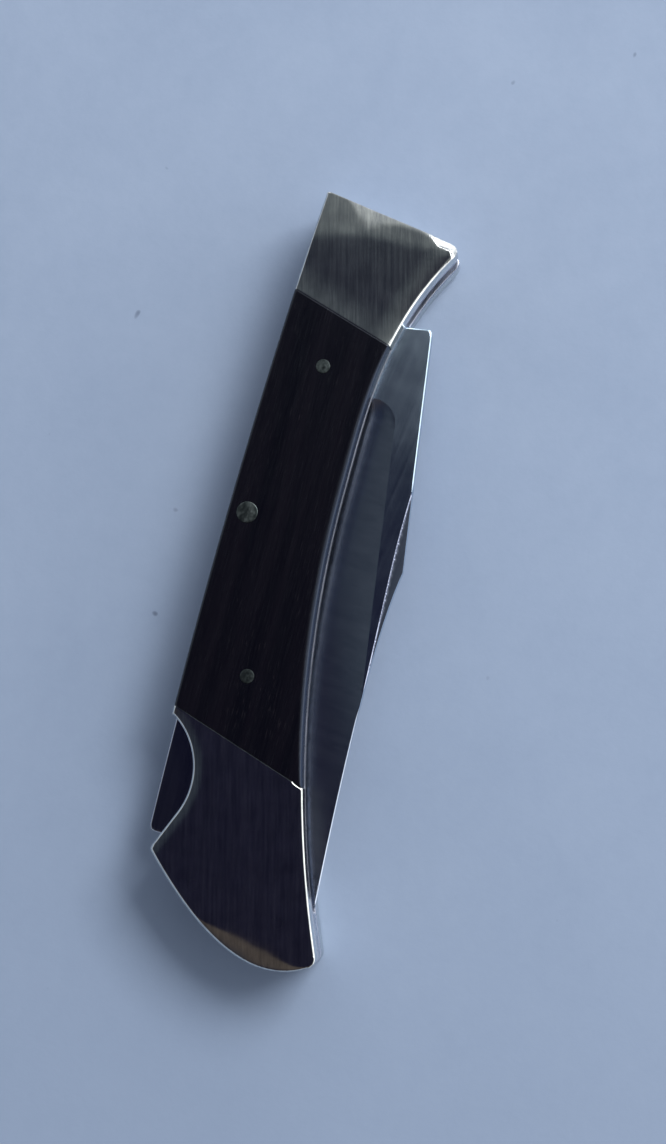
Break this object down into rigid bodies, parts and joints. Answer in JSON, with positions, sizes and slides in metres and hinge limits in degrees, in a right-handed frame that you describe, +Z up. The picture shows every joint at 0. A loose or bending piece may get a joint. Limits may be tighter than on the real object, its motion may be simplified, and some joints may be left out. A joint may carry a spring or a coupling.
{
  "type": "folding pocket knife",
  "caption": "Closed lock-back folding knife with a clip-point blade, wood scales between metal bolsters, liners, a rocking lock bar and a thumb notch.",
  "frame": {"origin": "on the blade pivot's axis, in the plane of the left cover's outer face, which the stored knife lies on", "axes": "+X runs forward along the handle, the way the open blade points, +Y towards the handle's spine, +Z up through the right-hand cover"},
  "size_m": [0.1069, 0.0283, 0.0116],
  "materials": {
    "bolster": "satin nickel silver, brushed lengthwise",
    "scale": "near-black dyed hardwood, satin, fine pores",
    "liner": "satin nickel silver",
    "blade": "polished stainless, satin ricasso",
    "spring_steel": "polished spring steel",
    "spacer": "satin",
    "pin": "dull nickel silver"
  },
  "bodies": {
    "handle": {"right_front_bolster": "bolster", "right_wood_scale": "scale", "right_rear_bolster": "bolster", "right_liner": "liner", "right_guard_rivet": "bolster", "left_front_bolster": "bolster", "left_wood_scale": "scale", "left_rear_bolster": "bolster", "left_liner": "liner", "left_guard_rivet": "bolster", "lock_spring": "spring_steel", "rear_spacer": "spacer", "pivot_pin": "bolster", "rocker_pin": "pin", "front_handle_pin": "pin", "rear_handle_pin": "pin", "upper_bolster_pin": "bolster", "lower_bolster_pin": "bolster", "spring_pin": "pin"},
    "blade": {"blade": "blade"},
    "lock_bar": {"lock_bar": "spring_steel"}
  },
  "joints": [
    {"name": "blade_pivot", "type": "hinge", "parent": "handle", "child": "blade", "pos_m": [0, 0, 0.0058], "axis": [0, 0, 1], "range_deg": [0, 172]},
    {"name": "lock_rocker", "type": "hinge", "parent": "handle", "child": "lock_bar", "pos_m": [-0.03895, 0.008, 0.0058], "axis": [0, 0, 1], "range_deg": [-1.2, 0.8], "stiffness_Nm_per_rad": 60}
  ]
}
